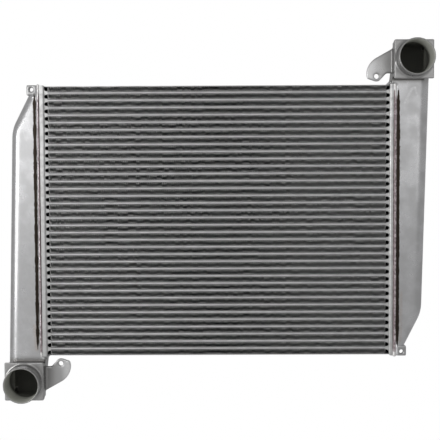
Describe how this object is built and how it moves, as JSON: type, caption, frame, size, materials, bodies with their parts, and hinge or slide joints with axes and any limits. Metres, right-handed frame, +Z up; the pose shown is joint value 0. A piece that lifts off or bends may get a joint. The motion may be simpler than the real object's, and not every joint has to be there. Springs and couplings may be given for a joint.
{
  "type": "intercooler",
  "caption": "Upright air-to-air intercooler: brazed tube-and-fin core between two hollow cast side tanks, with round hose ports at opposite corners, hooked bolt ears and small bolt lugs.",
  "frame": {"origin": "middle of the core's width and height, midway between the two ear holes, on the plane of the ears' rear faces", "axes": "+X to the right as seen from the front, +Y to the back, +Z up; the hose ports open towards -Y"},
  "size_m": [1.055, 0.1301, 0.8828],
  "materials": {
    "cast_aluminium": "sand-cast, satin grey, slightly mottled",
    "header_sheet": "pressed sheet after brazing, satin",
    "tube_aluminium": "extruded, satin after brazing",
    "fin_strip": "folded thin sheet, dark between the legs",
    "side_sheet": "sheet, satin",
    "weld_metal": "rippled weld with a dark heat band beside it"
  },
  "bodies": {
    "root": {"fin_bank_01": "fin_strip", "fin_bank_02": "fin_strip", "fin_bank_03": "fin_strip", "fin_bank_04": "fin_strip", "fin_bank_05": "fin_strip", "fin_bank_06": "fin_strip", "fin_bank_07": "fin_strip", "fin_bank_08": "fin_strip", "fin_bank_09": "fin_strip", "fin_bank_10": "fin_strip", "fin_bank_11": "fin_strip", "fin_bank_12": "fin_strip", "fin_bank_13": "fin_strip", "header_left": "header_sheet", "header_right": "header_sheet", "side_plate_bottom": "side_sheet", "side_plate_top": "side_sheet", "tank_left": "cast_aluminium", "tank_right": "cast_aluminium", "tube_01": "tube_aluminium", "tube_02": "tube_aluminium", "tube_03": "tube_aluminium", "tube_04": "tube_aluminium", "tube_05": "tube_aluminium", "tube_06": "tube_aluminium", "tube_07": "tube_aluminium", "tube_08": "tube_aluminium", "tube_09": "tube_aluminium", "tube_10": "tube_aluminium", "tube_11": "tube_aluminium", "tube_12": "tube_aluminium", "tube_13": "tube_aluminium", "tube_14": "tube_aluminium", "tube_15": "tube_aluminium", "tube_16": "tube_aluminium", "tube_17": "tube_aluminium", "tube_18": "tube_aluminium", "tube_19": "tube_aluminium", "tube_20": "tube_aluminium", "tube_21": "tube_aluminium", "tube_22": "tube_aluminium", "tube_23": "tube_aluminium", "tube_24": "tube_aluminium", "tube_25": "tube_aluminium", "tube_26": "tube_aluminium", "tube_27": "tube_aluminium", "tube_28": "tube_aluminium", "tube_29": "tube_aluminium", "tube_30": "tube_aluminium", "tube_31": "tube_aluminium", "tube_32": "tube_aluminium", "tube_33": "tube_aluminium", "tube_34": "tube_aluminium", "tube_35": "tube_aluminium", "tube_36": "tube_aluminium", "weld_bead_left": "weld_metal", "weld_bead_right": "weld_metal"}
  },
  "joints": []
}
